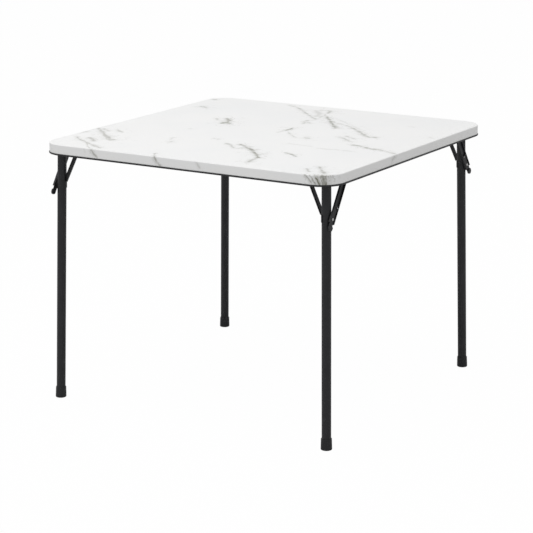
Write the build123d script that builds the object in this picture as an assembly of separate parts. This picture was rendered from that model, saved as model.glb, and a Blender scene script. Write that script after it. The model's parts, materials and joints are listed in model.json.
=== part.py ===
from build123d import *
import math
import os

# Folding card table, opened out. Millimetres, +Z up, origin on the floor under
# the middle of the top. The front side faces -Y. Each leg folds inwards about a
# hinge pin near its corner and is held open by a channel brace with a latch.

# Driving sizes of the whole table
table_height = 743.0
rim_span = 930.0
rim_corner_radius = 70.0
edge_height = 30.0

# Moulded top
rim_line_height = 4.4
rim_stand_out = 1.5
panel_thickness = 8.2
skirt_wall = 3.0
top_edge_radius = 2.5
skirt_lip_radius = 1.0

# Steel rim frame
rail_wall = 1.5
rail_flange = 12.0
rim_edge_radius = 1.2

# Cross rails under the top
cross_rail_offset = 150.0
cross_rail_width = 30.0
cross_rail_height = 14.0
cross_rail_wall = 1.5

# Legs
tube_diameter = 25.4
tube_wall = 1.2
leg_inset = 50.0
pair_stagger = 7.0
splay_angle = 1.24
pivot_above_rim = 3.0
tube_head = 8.0
tube_foot_gap = 4.0

# Foot caps
cap_height = 31.0
cap_radius = 15.5
cap_taper = 0.9
cap_fillet = 2.5
cap_overrun = 3.0

# Hinge pin and leg bracket
hinge_pin_radius = 3.0
pin_head_radius = 5.0
pin_head_height = 2.0
bracket_wall = 2.0
gusset_wall = 1.6
gusset_reach_x = 66.0
gusset_reach_y = 100.0
cheek_front = 9.0
cheek_back = 71.0
cheek_below = 6.0
ear_position = 58.0

# Side strut, fixed to the leg
strut_width = 11.0
strut_depth = 3.6
strut_wall = 1.2
strut_foot = 93.0
eye_radius = 5.5
eye_length = 12.0
saddle_wall = 1.5
saddle_length = 20.0
saddle_share = 0.45

# Locking brace
brace_pivot_y = 60.0
brace_pivot_z = 2.0
lock_drop = 94.0
brace_width = 23.0
brace_wall = 1.6
brace_depth = 5.6
brace_head = 9.0
brace_tail = 11.0
brace_pin_radius = 2.5
brace_pin_head = 4.5

# Latch at the lower end of the brace
latch_wall = 1.4
latch_width = 16.0
latch_reach = 33.0
latch_pivot_back = 34.0
latch_pin_radius = 1.5
latch_barrel_radius = 2.3
latch_barrel_share = 0.6
latch_pin_height = 2.6
latch_thumb_wall = 4.6
latch_thumb_length = 13.0
latch_lift = 2.5
lock_pin_radius = 2.5
lock_pin_head = 3.6
lock_pin_head_height = 1.6
lock_hole_play = 1.2
spring_wire_radius = 0.35
spring_radius = 2.1
spring_pitch = 0.95
spring_turns = 5

# Leg clips under the top
clip_length = 24.0
clip_wall = 2.0
clip_flange_reach = 27.0
clip_flange_wall = 3.0
clip_distance = 330.0
clip_screw_place = 22.0
clip_screw_spacing = 13.0

# Screws
screw_radius = 2.0
screw_head_radius = 3.6
screw_head_height = 1.6
screw_depth = 5.6
rail_screw_end_gap = 8.5
rail_screw_count = 4
cross_screw_end_gap = 72.0
cross_screw_count = 3

# Clearances and cutting overrun
running_gap = 0.3
pin_clearance = 0.05
wall_gap = 0.4
folded_gap = 0.8
overrun = 5.0

# Places worked out from the driving sizes
rim_half = rim_span / 2
rim_bottom = table_height - edge_height
skirt_bottom = rim_bottom + rim_line_height
panel_bottom = table_height - panel_thickness
skirt_half = rim_half - rim_stand_out
skirt_radius = rim_corner_radius - rim_stand_out
web_half = skirt_half - skirt_wall
web_radius = skirt_radius - skirt_wall
web_inner = web_half - rail_wall
web_inner_radius = web_radius - rail_wall
flange_half = web_inner - rail_flange
flange_radius = web_inner_radius - rail_flange
flange_bottom = panel_bottom - rail_wall
gusset_bottom = flange_bottom - gusset_wall
tube_radius = tube_diameter / 2
pivot_height = rim_bottom + pivot_above_rim
leg_place = rim_half - leg_inset
rail_screw_end = leg_place - gusset_reach_y - rail_screw_end_gap
rail_screw_pitch = 2 * rail_screw_end / (rail_screw_count - 1)
cross_screw_end = flange_half - cross_screw_end_gap
cross_screw_pitch = 2 * cross_screw_end / (cross_screw_count - 1)

cheek_inner = -(tube_radius + wall_gap)
cheek_outer = cheek_inner - bracket_wall
web_face = cheek_outer - running_gap
brace_web_outer = web_face - brace_wall
brace_outer = web_face - brace_depth
latch_inner = brace_web_outer - running_gap
latch_outer = latch_inner - latch_wall
latch_pin_place = brace_web_outer - latch_pin_height
thumb_outer = latch_inner - latch_thumb_wall

lean = math.radians(splay_angle)
lock_y = -lock_drop * math.sin(lean)
lock_z = -lock_drop * math.cos(lean)
brace_run_y = lock_y - brace_pivot_y
brace_run_z = lock_z - brace_pivot_z
brace_span = math.hypot(brace_run_y, brace_run_z)
brace_angle = math.degrees(math.atan2(brace_run_z, brace_run_y))

# Folded legs of one side lie parallel, one outside the other
latch_swing = (latch_pivot_back + latch_reach) * math.sin(math.radians(latch_lift))
folded_spacing = max(latch_swing - thumb_outer + tube_radius, cap_radius - brace_outer) + folded_gap
leg_yaw = math.degrees(math.asin((folded_spacing / 2 - pair_stagger) / leg_place))
leg_reach = pivot_height / math.cos(lean) ** 2

corners = {
    "front_left": (-1, -1),
    "front_right": (1, -1),
    "back_right": (1, 1),
    "back_left": (-1, 1),
}
parts = {}


def block(low, high):
    size = [high[i] - low[i] for i in range(3)]
    middle = [(high[i] + low[i]) / 2 for i in range(3)]
    return Pos(*middle) * Box(*size)


def bar_x(radius, x_from, x_to, y=0, z=0):
    middle = (x_from + x_to) / 2
    return Pos(middle, y, z) * Rot(0, 90, 0) * Cylinder(radius, abs(x_to - x_from))


def bar_z(radius, z_from, z_to, x=0, y=0):
    return Pos(x, y, (z_from + z_to) / 2) * Cylinder(radius, abs(z_to - z_from))


def rounded_plate(half, radius, z_from, z_to):
    outline = RectangleRounded(2 * half, 2 * half, radius)
    return extrude(Pos(0, 0, z_from) * outline, z_to - z_from)


def edges_at(shape, height):
    return [e for e in shape.edges() if abs(e.bounding_box().min.Z - height) < running_gap / 2
            and abs(e.bounding_box().max.Z - height) < running_gap / 2]


def place(shape, corner, splayed=True):
    """Puts a shape of the corner's own frame at its corner of the table."""
    side_x, side_y = corners[corner]
    yaw = leg_yaw if side_y < 0 else -leg_yaw
    if splayed:
        shape = Rot(0, splay_angle, 0) * shape
    shape = Rot(0, 0, yaw) * shape
    if side_x > 0:
        shape = mirror(shape, Plane.YZ)
    if side_y > 0:
        shape = mirror(shape, Plane.XZ)
    offset = leg_place - side_y * pair_stagger
    return Pos(side_x * offset, side_y * leg_place, pivot_height) * shape


def leaning(shape):
    """Leans a leg's shape outwards about the hinge pin."""
    return Rot(-splay_angle, 0, 0) * shape


def on_brace(shape):
    """Takes a shape from the brace's own frame, with +Y along it, to the corner's."""
    return Pos(0, brace_pivot_y, brace_pivot_z) * Rot(brace_angle, 0, 0) * shape


# Screw places: all screws go up into the top
def rail_screw_places():
    middle = (web_inner + flange_half) / 2
    places = []
    for i in range(rail_screw_count):
        along = i * rail_screw_pitch - rail_screw_end
        places += [(along, middle), (along, -middle), (middle, along), (-middle, along)]
    return places


def cross_screw_places():
    return [(side * cross_rail_offset, i * cross_screw_pitch - cross_screw_end)
            for side in (-1, 1) for i in range(cross_screw_count)]


def gusset_screw_places(corner):
    side_x, side_y = corners[corner]
    near = flange_half - 2 * screw_head_radius
    far_x = leg_place - gusset_reach_x + 2 * screw_head_radius
    far_y = leg_place - gusset_reach_y + 2 * screw_head_radius
    return [(side_x * far_x, side_y * near), (side_x * far_x, side_y * far_y),
            (side_x * far_x, side_y * (near + far_y) / 2)]


def clip_screws(corner, shape_for):
    shapes = []
    for side in (-1, 1):
        shape = shape_for(clip_screw_place, clip_distance + side * clip_screw_spacing / 2)
        shapes.append(place(shape, corner, splayed=False))
    return shapes


def screw(x, y, seat):
    head = Pos(x, y, seat - screw_head_height / 2) * Cylinder(screw_head_radius, screw_head_height)
    round_edges = edges_at(head, seat - screw_head_height)
    head = fillet(round_edges, screw_head_height / 2)
    shank = bar_z(screw_radius, seat - screw_head_height / 2, panel_bottom + screw_depth, x, y)
    return head + shank


def screw_hole(x, y):
    radius = screw_radius + pin_clearance
    return bar_z(radius, gusset_bottom - overrun, panel_bottom + screw_depth + running_gap, x, y)


# Moulded top with its skirt
def make_top():
    body = rounded_plate(skirt_half, skirt_radius, skirt_bottom, table_height)
    body = fillet(edges_at(body, table_height), top_edge_radius)
    body = fillet(edges_at(body, skirt_bottom), skirt_lip_radius)
    body -= rounded_plate(web_half, web_radius, skirt_bottom - overrun, panel_bottom)
    for x, y in rail_screw_places() + cross_screw_places():
        body -= screw_hole(x, y)
    for corner in corners:
        for x, y in gusset_screw_places(corner):
            body -= screw_hole(x, y)
        for hole in clip_screws(corner, clip_hole):
            body -= hole
    return body


def clip_hole(x, y):
    top = panel_bottom + screw_depth + running_gap - pivot_height
    radius = screw_radius + pin_clearance
    return bar_z(radius, gusset_bottom - overrun - pivot_height, top, x, y)


# Steel rim: a bead under the skirt, a web inside it and a flange under the top
def make_rim():
    bead = rounded_plate(rim_half, rim_corner_radius, rim_bottom, skirt_bottom)
    bead = fillet(edges_at(bead, rim_bottom) + edges_at(bead, skirt_bottom), rim_edge_radius)
    web = rounded_plate(web_half, web_radius, rim_bottom, panel_bottom)
    ring = bead + web
    ring -= rounded_plate(web_inner, web_inner_radius, rim_bottom - overrun, flange_bottom)
    ring -= rounded_plate(flange_half, flange_radius, flange_bottom - overrun,
                          panel_bottom + overrun)
    for x, y in rail_screw_places():
        ring -= screw_hole(x, y)
    return ring


def cut_rim(ring):
    straight = rim_half - rim_corner_radius
    beyond = rim_half + overrun
    bottom = rim_bottom - overrun
    top = table_height + overrun
    rails = {
        "front_rail": ((-straight, -beyond), (straight, -straight)),
        "back_rail": ((-straight, straight), (straight, beyond)),
        "left_rail": ((-beyond, -straight), (-straight, straight)),
        "right_rail": ((straight, -straight), (beyond, straight)),
    }
    for name, (low, high) in rails.items():
        parts[name] = ring & block((*low, bottom), (*high, top))
    for corner, (side_x, side_y) in corners.items():
        xs = sorted((side_x * straight, side_x * beyond))
        ys = sorted((side_y * straight, side_y * beyond))
        cutter = block((xs[0], ys[0], bottom), (xs[1], ys[1], top))
        parts["rim_corner_" + corner] = ring & cutter


# Channel rails that stiffen the top, open side down
def make_cross_rail(side):
    x = side * cross_rail_offset
    half = cross_rail_width / 2
    low = flange_bottom - cross_rail_height
    rail = block((x - half, -web_inner, low), (x + half, web_inner, flange_bottom))
    inner = half - cross_rail_wall
    rail -= block((x - inner, -web_inner - overrun, low - overrun),
                  (x + inner, web_inner + overrun, flange_bottom - cross_rail_wall))
    for place_x, place_y in cross_screw_places():
        if place_x == x:
            rail -= screw_hole(place_x, place_y)
    return rail


# Leg bracket: a gusset under the rim flange with a cheek and an ear
def make_bracket(corner):
    side_x, side_y = corners[corner]
    near_x = leg_place - gusset_reach_x
    near_y = leg_place - gusset_reach_y
    beyond = rim_half + overrun
    xs = sorted((side_x * near_x, side_x * beyond))
    ys = sorted((side_y * near_y, side_y * beyond))
    gusset = rounded_plate(web_inner, web_inner_radius, gusset_bottom, flange_bottom)
    gusset &= block((xs[0], ys[0], gusset_bottom - overrun), (xs[1], ys[1], flange_bottom + overrun))
    top = flange_bottom - pivot_height + overrun
    cheek = block((cheek_outer, -cheek_front, -cheek_below), (cheek_inner, cheek_back, top))
    ear = block((ear_position - bracket_wall, -cheek_front, -cheek_below),
                (ear_position, cheek_front, top))
    walls = cheek + ear
    walls -= bar_x(hinge_pin_radius, cheek_outer - overrun, ear_position + overrun)
    walls -= bar_x(brace_pin_radius, cheek_outer - overrun, cheek_inner + overrun,
                   brace_pivot_y, brace_pivot_z)
    walls = place(walls, corner)
    walls -= block((-beyond, -beyond, flange_bottom), (beyond, beyond, table_height + overrun))
    bracket = gusset + walls
    for x, y in gusset_screw_places(corner):
        bracket -= screw_hole(x, y)
    return bracket


def make_hinge_pin():
    outer_end = cheek_outer - pin_head_height
    inner_end = ear_position + pin_head_height
    pin = bar_x(hinge_pin_radius, outer_end, inner_end)
    pin += bar_x(pin_head_radius, outer_end, cheek_outer)
    return pin + bar_x(pin_head_radius, ear_position, inner_end)


# Leg tube with its hinge hole and the hole for the lock pin
def make_tube():
    foot = -leg_reach + tube_foot_gap
    tube = bar_z(tube_radius, foot, tube_head)
    tube -= bar_z(tube_radius - tube_wall, foot - overrun, tube_head - tube_wall)
    tube -= bar_x(hinge_pin_radius + pin_clearance, -tube_radius - overrun, tube_radius + overrun)
    hole = lock_pin_radius + lock_hole_play
    tube -= bar_x(hole, -tube_radius - overrun, 0, 0, -lock_drop)
    tube = fillet(edges_at(tube, tube_head), tube_wall)
    return leaning(tube)


def make_cap():
    foot = -leg_reach
    solid = Pos(0, 0, foot + (cap_height - cap_overrun) / 2)
    solid *= Cone(cap_radius, cap_radius - cap_taper, cap_height + cap_overrun)
    solid = fillet(solid.edges().sort_by(Axis.Z)[-1], cap_taper)
    solid -= bar_z(tube_radius + pin_clearance, foot + tube_foot_gap, overrun)
    return leaning(solid)


def trim_cap(cap):
    """Cuts the cap flat on the floor and rounds its lower edge."""
    beyond = rim_half + overrun
    cap -= block((-beyond, -beyond, -beyond), (beyond, beyond, 0))
    return fillet(edges_at(cap, 0), cap_fillet)


# Side strut: an eye on the hinge pin, a channel strap and a saddle on the leg
def make_strut():
    eye_end = ear_position - bracket_wall - running_gap
    eye_start = eye_end - eye_length
    eye_middle = (eye_start + eye_end) / 2
    saddle_outer = tube_radius + pin_clearance + saddle_wall
    foot_z = -strut_foot + saddle_length / 2
    run_x = eye_middle - (saddle_outer - saddle_wall)
    length = math.hypot(run_x, foot_z)
    tilt = math.degrees(math.atan2(run_x, -foot_z))
    strap = block((-strut_width / 2, -strut_depth / 2, -length),
                  (strut_width / 2, strut_depth / 2, 0))
    strap -= block((-strut_width / 2 + strut_wall, -strut_depth / 2 - overrun, -length - overrun),
                   (strut_width / 2 - strut_wall, strut_depth / 2 - strut_wall, overrun))
    strap = Pos(eye_middle, 0, 0) * Rot(0, tilt, 0) * strap
    strap -= bar_z(tube_radius + pin_clearance, -2 * strut_foot, overrun)
    strap -= block((-tube_radius, -tube_radius, -2 * strut_foot), (tube_radius / 2, tube_radius, 0))
    strut = strap + bar_x(eye_radius, eye_start, eye_end)
    strut -= bar_x(hinge_pin_radius + pin_clearance, eye_start - overrun, eye_end + overrun)
    low = -strut_foot - saddle_length / 2
    saddle = bar_z(saddle_outer, low, low + saddle_length)
    saddle -= bar_z(tube_radius + pin_clearance, low - overrun, low + saddle_length + overrun)
    saddle &= block((tube_radius * saddle_share, -2 * tube_radius, low - overrun),
                    (2 * tube_radius, 2 * tube_radius, overrun))
    return leaning(strut + saddle)


# Locking brace, a channel that opens outwards, built along +Y from its pivot
def make_brace():
    half = brace_width / 2
    end = brace_span + brace_tail
    brace = block((brace_web_outer, 0, -half), (web_face, end, half))
    brace += bar_x(half, brace_web_outer, web_face)
    flange_start = brace_head
    brace += block((brace_outer, flange_start, -half), (web_face, end, -half + brace_wall))
    brace += block((brace_outer, flange_start, half - brace_wall), (web_face, end, half))
    reach = brace_outer - overrun
    brace -= bar_x(brace_pin_radius + pin_clearance, reach, web_face + overrun)
    brace -= bar_x(lock_pin_radius + lock_hole_play, reach, web_face + overrun, brace_span)
    brace -= latch_axle(latch_pin_radius, 2 * half)
    return on_brace(brace)


def latch_axle(radius, length):
    spot = Pos(latch_pin_place, brace_span - latch_pivot_back, 0)
    return spot * Cylinder(radius, length)


def make_brace_pin():
    head_end = brace_web_outer - running_gap - pin_head_height
    pin = bar_x(brace_pin_radius, head_end, cheek_inner)
    pin += bar_x(brace_pin_head, head_end, brace_web_outer - running_gap)
    return Pos(0, brace_pivot_y, brace_pivot_z) * pin


# Latch lever inside the channel, with a rounded thumb tab past its end
def make_latch():
    half = latch_width / 2
    pivot = brace_span - latch_pivot_back
    tip = brace_span + latch_reach
    leaf_start = pivot + 2 * latch_barrel_radius
    leaf = block((latch_outer, leaf_start, -half), (latch_inner, tip - half, half))
    leaf += bar_x(half, latch_outer, latch_inner, tip - half)
    thumb = block((thumb_outer, tip - latch_thumb_length, -half), (latch_inner, tip - half, half))
    thumb += bar_x(half, thumb_outer, latch_inner, tip - half)
    barrel_end = -half + latch_barrel_share * latch_width
    tongue = block((latch_outer, pivot, -half), (latch_inner, leaf_start, barrel_end))
    barrel_middle = (barrel_end - half) / 2
    barrel = Pos(latch_pin_place, pivot, barrel_middle)
    barrel *= Cylinder(latch_barrel_radius, barrel_end + half)
    lever = leaf + thumb + tongue + barrel
    lever -= latch_axle(latch_pin_radius + pin_clearance, 2 * brace_width)
    lever -= bar_x(lock_pin_radius, latch_outer - overrun, latch_inner + overrun, brace_span)
    return on_brace(lever)


def make_latch_pin():
    return on_brace(latch_axle(latch_pin_radius, brace_width))


def make_lock_pin():
    head_end = latch_outer - lock_pin_head_height
    pin = bar_x(lock_pin_radius, head_end, cheek_inner, brace_span)
    head = bar_x(lock_pin_head, head_end, latch_outer, brace_span)
    head = fillet(head.edges().sort_by(Axis.X)[0], lock_pin_head_height / 2)
    return on_brace(pin + head)


# Latch spring: one coil beside the lever's barrel
def make_spring():
    half = latch_width / 2
    start = -half + latch_barrel_share * latch_width + running_gap + spring_wire_radius
    height = spring_pitch * spring_turns
    coil = Helix(pitch=spring_pitch, height=height, radius=spring_radius)
    section = Plane(coil @ 0, z_dir=coil % 0) * Circle(spring_wire_radius)
    spring = sweep(section, path=coil)
    print("spring gap between turns", round(spring_pitch - 2 * spring_wire_radius, 3))
    return on_brace(Pos(latch_pin_place, brace_span - latch_pivot_back, start) * spring)


# Leg clip under the top, open downwards
def make_clip():
    top = panel_bottom - pivot_height
    half = clip_length / 2
    bore = tube_radius + running_gap
    outer = bore + clip_wall
    clip = block((-outer, clip_distance - half, 0), (outer, clip_distance + half, top))
    clip += block((-outer, clip_distance - half, top - clip_flange_wall),
                  (clip_flange_reach, clip_distance + half, top))
    spot = Pos(0, clip_distance, 0) * Rot(90, 0, 0)
    clip -= spot * Cylinder(bore, 2 * clip_length)
    for side in (-1, 1):
        clip -= clip_hole(clip_screw_place, clip_distance + side * clip_screw_spacing / 2)
    return clip


def clip_screw(x, y):
    return Pos(0, 0, -pivot_height) * screw(x, y, panel_bottom - clip_flange_wall)


# All the pieces
parts["table_top"] = make_top()
cut_rim(make_rim())
parts["cross_rail_left"] = make_cross_rail(-1)
parts["cross_rail_right"] = make_cross_rail(1)

corner_pieces = {
    "leg_tube": make_tube(),
    "side_strut": make_strut(),
    "hinge_pin": make_hinge_pin(),
    "lock_brace": make_brace(),
    "brace_pin": make_brace_pin(),
    "latch_lever": make_latch(),
    "latch_pin": make_latch_pin(),
    "latch_spring": make_spring(),
    "lock_pin": make_lock_pin(),
}
cap = make_cap()
clip = make_clip()
clips = []
screws = [screw(x, y, flange_bottom) for x, y in rail_screw_places()]
screws += [screw(x, y, flange_bottom - cross_rail_wall) for x, y in cross_screw_places()]
bracket_screws = []
for corner in corners:
    for name, shape in corner_pieces.items():
        parts[name + "_" + corner] = place(shape, corner)
    parts["foot_cap_" + corner] = trim_cap(place(cap, corner))
    parts["leg_bracket_" + corner] = make_bracket(corner)
    clips.append(place(clip, corner, splayed=False))
    screws += clip_screws(corner, clip_screw)
    bracket_screws += [screw(x, y, gusset_bottom) for x, y in gusset_screw_places(corner)]
parts["leg_clips"] = Compound(children=[c.solid() for c in clips])
parts["panel_screws"] = Compound(children=[s.solid() for s in screws])
parts["bracket_screws"] = Compound(children=[s.solid() for s in bracket_screws])

os.makedirs("parts", exist_ok=True)
for name, shape in parts.items():
    export_step(shape, "parts/" + name + ".step")
print("nodes", len(parts), "leg yaw", round(leg_yaw, 3), "folded spacing", round(folded_spacing, 2))
print("brace angle", round(brace_angle, 3), "brace span", round(brace_span, 3))
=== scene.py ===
import json
import math

import bpy
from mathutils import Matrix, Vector

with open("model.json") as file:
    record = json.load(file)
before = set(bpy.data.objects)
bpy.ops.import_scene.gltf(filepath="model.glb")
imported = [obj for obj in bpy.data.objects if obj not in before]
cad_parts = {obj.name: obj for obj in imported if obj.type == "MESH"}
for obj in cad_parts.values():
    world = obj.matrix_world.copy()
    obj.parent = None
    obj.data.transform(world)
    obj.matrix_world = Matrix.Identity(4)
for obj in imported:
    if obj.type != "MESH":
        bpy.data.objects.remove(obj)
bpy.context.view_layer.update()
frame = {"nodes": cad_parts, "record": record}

# Camera: the photograph's viewing angle, for its 533 by 533 frame
FRAME_SIZE = 533
FRAME_CENTRE = FRAME_SIZE / 2
SENSOR = 36.0
FOCAL_PX = 1931.0
CLIP_NEAR = 0.05
CLIP_FAR = 60.0
CAMERA_PLACE = Vector((2.794, -4.658, 1.731))
CAMERA_AZIMUTH = math.radians(121.022)
CAMERA_PITCH = math.radians(14.279)

# Sizes of the table that the finish follows, in metres
TABLE_HEIGHT = 0.743
SIDE_PLACE = 0.4635
CORNER_MIDDLE = 0.395
CORNER_RADIUS = 0.0685

forward = Vector((math.cos(CAMERA_AZIMUTH) * math.cos(CAMERA_PITCH),
                  math.sin(CAMERA_AZIMUTH) * math.cos(CAMERA_PITCH),
                  -math.sin(CAMERA_PITCH)))
right = Vector((math.sin(CAMERA_AZIMUTH), -math.cos(CAMERA_AZIMUTH), 0.0))
up = right.cross(forward)

camera_data = bpy.data.cameras.new("camera")
camera_data.sensor_width = SENSOR
camera_data.lens = FOCAL_PX / FRAME_SIZE * SENSOR
camera_data.clip_start, camera_data.clip_end = CLIP_NEAR, CLIP_FAR
camera = bpy.data.objects.new("camera", camera_data)
bpy.context.collection.objects.link(camera)
camera.location = CAMERA_PLACE
camera.rotation_mode = "QUATERNION"
camera.rotation_quaternion = forward.to_track_quat("-Z", "Y")
bpy.context.scene.camera = camera
bpy.context.scene.view_settings.view_transform = "Standard"


# Node helpers
class Nodes:
    """A material's node tree, with a short way to add and join nodes."""

    def __init__(self, tree):
        self.tree = tree

    def add(self, kind, inputs=None, **facts):
        node = self.tree.nodes.new(kind)
        for name, value in facts.items():
            setattr(node, name, value)
        self.fill(node, inputs or {})
        return node

    def fill(self, node, inputs):
        for key, value in inputs.items():
            if isinstance(value, bpy.types.NodeSocket):
                self.tree.links.new(value, node.inputs[key])
            else:
                node.inputs[key].default_value = value

    def math(self, operation, a, b=None, c=None, clamp=False):
        inputs = {0: a}
        if b is not None:
            inputs[1] = b
        if c is not None:
            inputs[2] = c
        node = self.add("ShaderNodeMath", inputs, operation=operation, use_clamp=clamp)
        return node.outputs[0]

    def vector(self, operation, a, b=None, scale=None):
        inputs = {0: a}
        if b is not None:
            inputs[1] = b
        if scale is not None:
            inputs["Scale"] = scale
        node = self.add("ShaderNodeVectorMath", inputs, operation=operation)
        return node.outputs["Value" if operation in ("LENGTH", "DOT_PRODUCT") else "Vector"]

    def noise(self, place, scale, detail=2.0, rough=0.5):
        node = self.add("ShaderNodeTexNoise", {"Vector": place, "Scale": scale, "Detail": detail,
                                               "Roughness": rough})
        return node.outputs["Fac"], node.outputs["Color"]

    def ramp(self, value, low, high, to_low=0.0, to_high=1.0, smooth=True):
        node = self.add("ShaderNodeMapRange", {"Value": value, "From Min": low, "From Max": high,
                                               "To Min": to_low, "To Max": to_high})
        node.interpolation_type = "SMOOTHSTEP" if smooth else "LINEAR"
        return node.outputs["Result"]

    def mix(self, share, a, b):
        node = self.add("ShaderNodeMix", data_type="RGBA")
        a, b = ((*c, 1.0) if isinstance(c, tuple) else c for c in (a, b))
        self.fill(node, {0: share, 6: a, 7: b})
        return node.outputs[2]

    def bump(self, height, strength, distance, normal=None):
        inputs = {"Height": height, "Strength": strength, "Distance": distance}
        if normal is not None:
            inputs["Normal"] = normal
        return self.add("ShaderNodeBump", inputs).outputs["Normal"]


def new_material(name):
    material = bpy.data.materials.new(name)
    material.use_nodes = True
    material.node_tree.nodes.clear()
    nodes = Nodes(material.node_tree)
    shader = nodes.add("ShaderNodeBsdfPrincipled")
    output = nodes.add("ShaderNodeOutputMaterial")
    nodes.tree.links.new(shader.outputs["BSDF"], output.inputs["Surface"])
    return material, nodes, shader


def place_of(nodes):
    return nodes.add("ShaderNodeTexCoord").outputs["Object"]


# Where a pixel of the photograph lies on the table
def seen_at(x, y):
    """The spot of the top or of its edge that the photograph shows at a pixel."""
    ray = forward * FOCAL_PX + right * (x - FRAME_CENTRE) - up * (y - FRAME_CENTRE)
    top = CAMERA_PLACE + ray * ((TABLE_HEIGHT - CAMERA_PLACE.z) / ray.z)
    front_side = CAMERA_PLACE + ray * ((-SIDE_PLACE - CAMERA_PLACE.y) / ray.y)
    right_side = CAMERA_PLACE + ray * ((SIDE_PLACE - CAMERA_PLACE.x) / ray.x)
    middle = Vector((CORNER_MIDDLE, -CORNER_MIDDLE))
    away = top.xy - middle
    round_corner = away.x > 0 > away.y
    if top.y > -SIDE_PLACE and top.x < SIDE_PLACE and not (
            round_corner and away.length > CORNER_RADIUS):
        return top
    if front_side.x < CORNER_MIDDLE:
        return front_side
    if right_side.y > -CORNER_MIDDLE:
        return right_side
    start, step = CAMERA_PLACE.xy - middle, ray.xy
    half = start.dot(step) / step.length_squared
    rest = (start.length_squared - CORNER_RADIUS ** 2) / step.length_squared
    return CAMERA_PLACE + ray * (-half - math.sqrt(max(half * half - rest, 0)))


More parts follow.
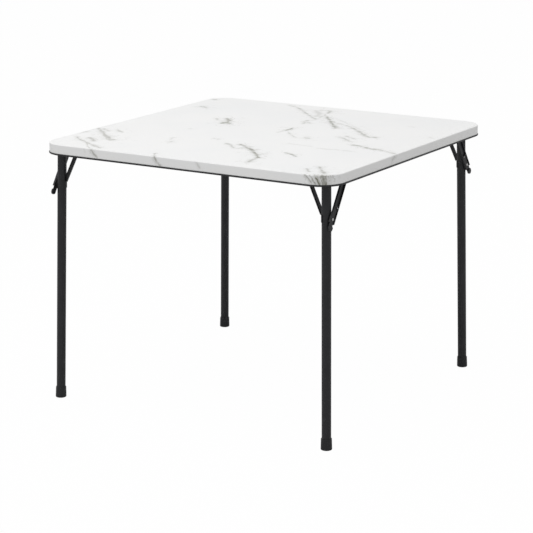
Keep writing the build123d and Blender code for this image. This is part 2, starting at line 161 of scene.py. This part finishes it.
# Marble veins: the spots that each runs through, in the photograph's frame,
# then its width in metres and its strength
VEINS = [
    ([(80, 133.4), (90, 130), (101, 127), (110, 124.6)], 0.004, 0.16),
    ([(97.9, 128.2), (103, 131.9), (105.9, 137), (109.6, 139.9), (114, 139.5)], 0.0072, 0.50),
    ([(108, 137), (110, 139)], 0.0101, 0.56),
    ([(104.5, 129), (108.4, 130.4)], 0.0072, 0.39),
    ([(117.7, 129.7), (122, 132.2)], 0.0057, 0.39),
    ([(89.8, 137.7), (94.2, 141)], 0.0072, 0.53),
    ([(76.6, 137), (81, 140), (86, 142), (92, 144.8), (100.8, 148)], 0.0057, 0.45),
    ([(86, 142), (89, 147.3), (91.3, 151), (93.5, 154.6), (97, 158)], 0.003, 0.47),
    ([(83.2, 131.9), (87.6, 131.4)], 0.0057, 0.35),
    ([(108.9, 124.7), (111, 124)], 0.0057, 0.34),
    ([(210, 98.9), (216, 99.6)], 0.005, 0.47),
    ([(200.6, 106.2), (206.4, 107.7)], 0.0066, 0.47),
    ([(216.5, 118.5), (217.4, 120)], 0.0055, 0.28),
    ([(221, 123.4), (224, 122.8)], 0.0066, 0.77),
    ([(227, 118.7), (229.9, 120.9), (226.2, 122.3), (230.6, 123.8)], 0.0075, 0.83),
    ([(169.8, 140), (172.7, 137.7), (174.9, 137.3)], 0.004, 0.25),
    ([(170.5, 142.1), (172.7, 141)], 0.005, 0.28),
    ([(188.8, 128.6), (191, 128.6)], 0.004, 0.16),
    ([(213.8, 138.5), (218.2, 139.2)], 0.004, 0.36),
    ([(225.5, 143.3), (229.9, 144.3), (234.3, 148), (238.7, 148.3), (243, 147.3)], 0.0045, 0.42),
    ([(239.4, 144), (246, 146.5), (251.9, 149.8), (256.3, 153.9), (257.8, 157.5)], 0.0063, 0.77),
    ([(257.8, 157.5), (253.4, 159.7), (248.2, 162.2)], 0.0065, 0.53),
    ([(259.2, 152.4), (266.6, 153.9)], 0.004, 0.20),
    ([(285.6, 152.7), (290, 153.9), (295.9, 156.5)], 0.004, 0.64),
    ([(156.5, 153), (154.3, 153.9), (154.3, 156.8), (156.5, 160.5), (160.2, 165.3)], 0.0035, 0.53),
    ([(194.7, 161.2), (197.6, 164.1), (199.8, 167.8)], 0.003, 0.24),
    ([(277.4, 132.2), (284.1, 130.9)], 0.004, 0.24),
    ([(286.4, 130.4), (292.1, 128.2)], 0.0059, 0.71),
    ([(288.1, 131.6), (290.8, 134.9), (296.1, 137.6)], 0.004, 0.32),
    ([(290, 105.6), (298, 107.5), (302.8, 110.8), (308.2, 114.8), (315.5, 119.1)], 0.005, 0.43),
    ([(315.5, 110.8), (319.6, 113.5), (317.5, 116.2), (323.6, 116.2)], 0.01, 0.28),
    ([(321.6, 110.2), (330.3, 111), (328.3, 113.4)], 0.007, 0.47),
    ([(318.9, 117.8), (323.6, 116.4), (326, 114.6)], 0.0027, 0.37),
    ([(326.2, 116.2), (330.3, 120.8), (333, 124.9), (336.3, 128)], 0.0061, 0.65),
    ([(331.6, 120.8), (335.6, 122.9), (341, 124.2), (346.3, 125.5), (353, 128.2)], 0.0045, 0.40),
    ([(353, 128.2), (359, 131.6), (363.7, 134.9), (369.8, 137.6), (375, 137.6)], 0.0072, 0.50),
    ([(337, 118.8), (342.3, 121.2), (350.4, 124.9), (358.4, 128.5)], 0.0036, 0.19),
    ([(338.3, 136.9), (343.7, 138.3), (347.7, 140.3), (351.7, 141.9)], 0.005, 0.44),
    ([(345.7, 136.2), (350.4, 137.6), (354.4, 138.7)], 0.005, 0.39),
    ([(353.7, 145), (361, 146.3), (367.8, 148.3), (374.5, 149.2)], 0.0055, 0.69),
    ([(374.5, 149.2), (381.2, 150.3), (387.9, 152), (394.6, 154)], 0.005, 0.47),
    ([(394.8, 156), (392.5, 160.4), (391.2, 164.4)], 0.003, 0.24),
    ([(304.1, 121.5), (308.8, 120.2), (313.5, 120.2)], 0.005, 0.40),
    ([(303.5, 123.5), (305.5, 122.2)], 0.005, 0.36),
    ([(306.8, 122.2), (310.2, 123.1)], 0.006, 0.47),
    ([(305.5, 137.6), (308.8, 138.6)], 0.009, 0.36),
    ([(289.4, 143.6), (300.8, 145), (311.5, 146.3)], 0.005, 0.13),
    ([(318.2, 148.6), (334.3, 149.6), (351.7, 151.4)], 0.004, 0.24),
    ([(429.4, 136.9), (432.7, 138.3)], 0.006, 0.17),
    ([(410, 126.4), (414, 127.4)], 0.006, 0.09),
    ([(306.8, 168.4), (308.8, 171.7)], 0.004, 0.40),
    ([(320.2, 167), (321.6, 171), (324.9, 173.7)], 0.006, 0.51),
    ([(305, 175), (308.8, 179), (311.5, 183)], 0.0028, 0.55),
    ([(310.2, 175), (313.2, 180), (315.8, 184.8)], 0.0033, 0.66),
    ([(314.9, 175), (317.5, 180), (319.6, 185)], 0.0037, 0.99),
    ([(318.9, 175), (321, 179), (322.5, 185)], 0.003, 0.72),
    ([(322.2, 175), (324, 180), (325.2, 185.4)], 0.003, 0.94),
    ([(326, 175), (326.4, 180), (326.6, 185.6)], 0.003, 1.00),
    ([(316.5, 176), (320, 184)], 0.009, 0.44),
    ([(322.5, 176), (323.5, 184.5)], 0.008, 0.61),
    ([(325.4, 176), (325.6, 185)], 0.007, 0.66),
]
# A vein's dark core, its soft halo and the reach of the wisps beside it, in vein widths
CORE_SHARE = 0.6
CORE_FULL = 0.2
HALO_FULL = 0.3
HALO_WIDTH = 2.6
NEAR_WIDTH = 7.0
# A small push that each run takes from the runs before it, which also orders them
VEIN_NUDGE = (0.0003, 0.0003, 0.0)

# Marble: scales are per metre, shifts in metres
VEIN_COLOUR = (0.2, 0.197, 0.152)
MARBLE_COLOUR = (0.875, 0.875, 0.87)
CLOUD_COLOUR = (0.855, 0.86, 0.86)
CLOUD_SCALE = 6.0
DRIFT_SCALE = 22.0
DRIFT_REACH = 0.010
SHIVER_SCALE = 120.0
SHIVER_REACH = 0.004
SWELL_SCALE = 35.0
SWELL_RANGE = (0.6, 1.6)
BREAK_SCALE = 75.0
BREAK_ROUGH = 0.65
BREAK_RANGE = (0.45, 1.25)
WISP_SCALE = 34.0
WISP_ROUGH = 0.6
WISP_WIDTH = 0.022
WISP_SHARE = 0.62
GRAIN_SCALE = 900.0
GRAIN_BUMP = 0.05
GRAIN_HEIGHT = 0.0003
MARBLE_ROUGH = (0.38, 0.46)

# The underside: no veins, and a fine pebbling
BELOW_RANGE = (-0.4, -0.9)
PEBBLE_SCALE = 420.0
PEBBLE_BUMP = 0.5
PEBBLE_HEIGHT = 0.0008

# Black paint and plastic
DARK_SPECULAR = 0.33
WEAR_SCALE = 30.0
WEAR_ROUGH = 0.6
WEAR_LIGHTER = 1.5
WEAR_SPREAD = (-0.05, 0.07)
DARK_BUMP = 0.25
DARK_HEIGHT = 0.0002

# Bright steel
METAL_CLOUD_SCALE = 160.0
METAL_GRAIN_SCALE = 2500.0
METAL_DULLER = 0.75
METAL_SPREAD = 0.12
METAL_BUMP = 0.1
METAL_HEIGHT = 0.0001


def segment_group():
    """A node group: how near a place lies to a straight run, from 0 off it to 1 on it."""
    tree = bpy.data.node_groups.new("vein_run", "ShaderNodeTree")
    for name in ("Place", "Start", "Run"):
        tree.interface.new_socket(name, in_out="INPUT", socket_type="NodeSocketVector")
    for name in ("Inverse", "Width", "Swell", "Strength", "Before", "Near Before"):
        tree.interface.new_socket(name, in_out="INPUT", socket_type="NodeSocketFloat")
    for name in ("Share", "Near"):
        tree.interface.new_socket(name, in_out="OUTPUT", socket_type="NodeSocketFloat")
    nodes = Nodes(tree)
    given = nodes.add("NodeGroupInput").outputs
    nudge = nodes.vector("SCALE", VEIN_NUDGE, scale=given["Before"])
    place = nodes.vector("ADD", given["Place"], nudge)
    away = nodes.vector("SUBTRACT", place, given["Start"])
    along = nodes.math("MULTIPLY", nodes.vector("DOT_PRODUCT", away, given["Run"]),
                       given["Inverse"], clamp=True)
    off = nodes.vector("SUBTRACT", away, nodes.vector("SCALE", given["Run"], scale=along))
    width = nodes.math("MULTIPLY", given["Swell"], given["Width"])
    gap = nodes.math("DIVIDE", nodes.vector("LENGTH", off), width)
    core = nodes.ramp(gap, 1.0, CORE_FULL, 0.0, CORE_SHARE)
    halo = nodes.ramp(gap, HALO_WIDTH, HALO_FULL, 0.0, 1.0 - CORE_SHARE)
    share = nodes.math("MULTIPLY", nodes.math("ADD", core, halo), given["Strength"])
    share = nodes.math("MAXIMUM", share, given["Before"])
    near = nodes.math("MULTIPLY", nodes.ramp(gap, NEAR_WIDTH, 1.0), given["Strength"])
    near = nodes.math("MAXIMUM", near, given["Near Before"])
    nodes.add("NodeGroupOutput", {"Share": share, "Near": near})
    return tree


def shifted(nodes, place, colour, reach):
    """The place, moved by a noise colour by up to half the reach each way."""
    centred = nodes.vector("SUBTRACT", colour, (0.5, 0.5, 0.5))
    return nodes.vector("ADD", place, nodes.vector("SCALE", centred, scale=reach))


def vein_shares(nodes, place, swell):
    """The share of vein colour at a place, and how near it is to any vein."""
    group = segment_group()
    share = near = None
    for pixels, width, strength in VEINS:
        spots = [seen_at(x, y) for x, y in pixels]
        for start, end in zip(spots, spots[1:]):
            run = end - start
            inputs = {"Place": place, "Start": start, "Run": run, "Inverse": 1 / run.length_squared,
                      "Swell": swell, "Width": width, "Strength": strength}
            if share is not None:
                inputs.update({"Before": share, "Near Before": near})
            node = nodes.add("ShaderNodeGroup", node_tree=group)
            nodes.fill(node, inputs)
            share, near = node.outputs["Share"], node.outputs["Near"]
    return share, near


def make_marble():
    material, nodes, shader = new_material("marble_top")
    place = place_of(nodes)
    _, drift = nodes.noise(place, DRIFT_SCALE, 3.0)
    _, shiver = nodes.noise(place, SHIVER_SCALE, 2.0)
    warped = shifted(nodes, place, drift, DRIFT_REACH)
    warped = shifted(nodes, warped, shiver, SHIVER_REACH)
    thick, _ = nodes.noise(place, SWELL_SCALE, 2.0)
    total, near = vein_shares(nodes, warped, nodes.ramp(thick, 0.35, 0.7, *SWELL_RANGE))
    broken, _ = nodes.noise(place, BREAK_SCALE, 3.0, BREAK_ROUGH)
    total = nodes.math("MULTIPLY", total, nodes.ramp(broken, 0.3, 0.6, *BREAK_RANGE))
    wisp, _ = nodes.noise(warped, WISP_SCALE, 3.0, WISP_ROUGH)
    middle = nodes.math("ABSOLUTE", nodes.math("SUBTRACT", wisp, 0.5))
    wisps = nodes.math("MULTIPLY", nodes.ramp(middle, WISP_WIDTH, 0.0), near)
    total = nodes.math("MAXIMUM", total, nodes.math("MULTIPLY", wisps, WISP_SHARE))
    facing = nodes.add("ShaderNodeNewGeometry").outputs["True Normal"]
    turned = nodes.add("ShaderNodeSeparateXYZ", {0: facing}).outputs["Z"]
    below = nodes.ramp(turned, *BELOW_RANGE)
    total = nodes.math("MULTIPLY", total, nodes.math("SUBTRACT", 1.0, below))
    cloud, _ = nodes.noise(place, CLOUD_SCALE, 4.0)
    ground = nodes.mix(nodes.ramp(cloud, 0.35, 0.75), MARBLE_COLOUR, CLOUD_COLOUR)
    grain, _ = nodes.noise(place, GRAIN_SCALE, 2.0)
    cells = nodes.add("ShaderNodeTexVoronoi", {"Vector": place, "Scale": PEBBLE_SCALE},
                      feature="SMOOTH_F1")
    pebble = nodes.math("MULTIPLY", cells.outputs["Distance"], below)
    smooth_face = nodes.bump(grain, GRAIN_BUMP, GRAIN_HEIGHT)
    nodes.fill(shader, {"Base Color": nodes.mix(total, ground, VEIN_COLOUR),
                        "Roughness": nodes.ramp(grain, 0.3, 0.7, *MARBLE_ROUGH),
                        "Normal": nodes.bump(pebble, PEBBLE_BUMP, PEBBLE_HEIGHT, smooth_face)})
    return material


def make_dark(name, colour, rough, grain_scale):
    material, nodes, shader = new_material(name)
    place = place_of(nodes)
    grain, _ = nodes.noise(place, grain_scale, 2.0)
    wear, _ = nodes.noise(place, WEAR_SCALE, 4.0, WEAR_ROUGH)
    lighter = tuple(WEAR_LIGHTER * c for c in colour)
    low, high = (rough + spread for spread in WEAR_SPREAD)
    nodes.fill(shader, {"Specular IOR Level": DARK_SPECULAR,
                        "Base Color": nodes.mix(nodes.ramp(wear, 0.35, 0.75), colour, lighter),
                        "Roughness": nodes.ramp(wear, 0.3, 0.7, low, high),
                        "Normal": nodes.bump(grain, DARK_BUMP, DARK_HEIGHT)})
    return material


def make_metal(name, colour, rough):
    material, nodes, shader = new_material(name)
    place = place_of(nodes)
    cloud, _ = nodes.noise(place, METAL_CLOUD_SCALE, 3.0)
    grain, _ = nodes.noise(place, METAL_GRAIN_SCALE, 2.0)
    duller = tuple(METAL_DULLER * c for c in colour)
    nodes.fill(shader, {"Metallic": 1.0,
                        "Base Color": nodes.mix(nodes.ramp(cloud, 0.3, 0.7), colour, duller),
                        "Roughness": nodes.ramp(cloud, 0.3, 0.7, rough, rough + METAL_SPREAD),
                        "Normal": nodes.bump(grain, METAL_BUMP, METAL_HEIGHT)})
    return material


finishes = {
    "marble_top": make_marble(),
    "black_steel": make_dark("black_steel", (0.0098, 0.0099, 0.0114), 0.40, 1400.0),
    "black_plastic": make_dark("black_plastic", (0.0076, 0.0079, 0.0090), 0.5, 2200.0),
    "zinc_steel": make_metal("zinc_steel", (0.66, 0.66, 0.65), 0.28),
    "spring_steel": make_metal("spring_steel", (0.42, 0.42, 0.43), 0.3),
}
for piece in frame["record"]["subparts"]:
    for holder in frame["nodes"][piece["node"]].material_slots:
        holder.material = finishes[piece["material_slot"]]


# Floor, world and lamp
FLOOR_HALF = 12.0
FLOOR_DROP = 0.0005
FLOOR_GREY = 0.8
FLOOR_WHITE_SHARE = 0.985
AMBIENT = 0.53
KEY_PLACE = Vector((-0.5, -1.4, 5.0))
KEY_AIM = Vector((0, 0, 0.6))
KEY_SIZE = 4.0
KEY_POWER = 116

floor_mesh = bpy.data.meshes.new("floor")
floor_mesh.from_pydata([(-FLOOR_HALF, -FLOOR_HALF, 0), (FLOOR_HALF, -FLOOR_HALF, 0),
                        (FLOOR_HALF, FLOOR_HALF, 0), (-FLOOR_HALF, FLOOR_HALF, 0)],
                       [], [(0, 1, 2, 3)])
floor = bpy.data.objects.new("floor", floor_mesh)
bpy.context.collection.objects.link(floor)
floor.location.z = -FLOOR_DROP
floor_material = bpy.data.materials.new("floor")
floor_material.use_nodes = True
floor_material.node_tree.nodes.clear()
ground = Nodes(floor_material.node_tree)
matt = ground.add("ShaderNodeBsdfDiffuse", {"Color": (FLOOR_GREY, FLOOR_GREY, FLOOR_GREY, 1)})
white = ground.add("ShaderNodeEmission", {"Color": (1, 1, 1, 1), "Strength": 1.0})
seen = ground.add("ShaderNodeLightPath").outputs["Is Camera Ray"]
blend = ground.add("ShaderNodeMixShader", {
    0: ground.math("MULTIPLY", seen, FLOOR_WHITE_SHARE), 1: matt.outputs[0], 2: white.outputs[0]})
ground.add("ShaderNodeOutputMaterial", {"Surface": blend.outputs[0]})
floor_mesh.materials.append(floor_material)

# The world is white where a camera ray or a reflection meets it, and dimmer as a light
world = bpy.data.worlds.new("studio")
bpy.context.scene.world = world
world.use_nodes = True
world.node_tree.nodes.clear()
sky = Nodes(world.node_tree)
path = sky.add("ShaderNodeLightPath")
shown = sky.math("MAXIMUM", path.outputs["Is Camera Ray"], path.outputs["Is Glossy Ray"])
shown = sky.math("MAXIMUM", shown, path.outputs["Is Transmission Ray"])
strength = sky.math("MULTIPLY_ADD", shown, 1.0 - AMBIENT, AMBIENT)
air = sky.add("ShaderNodeBackground", {"Color": (1, 1, 1, 1), "Strength": strength})
sky.add("ShaderNodeOutputWorld", {"Surface": air.outputs[0]})

key_data = bpy.data.lights.new("key", "AREA")
key_data.shape = "SQUARE"
key_data.size = KEY_SIZE
key_data.energy = KEY_POWER
key = bpy.data.objects.new("key", key_data)
bpy.context.collection.objects.link(key)
key.location = KEY_PLACE
key.rotation_mode = "QUATERNION"
key.rotation_quaternion = (KEY_AIM - KEY_PLACE).to_track_quat("-Z", "Y")
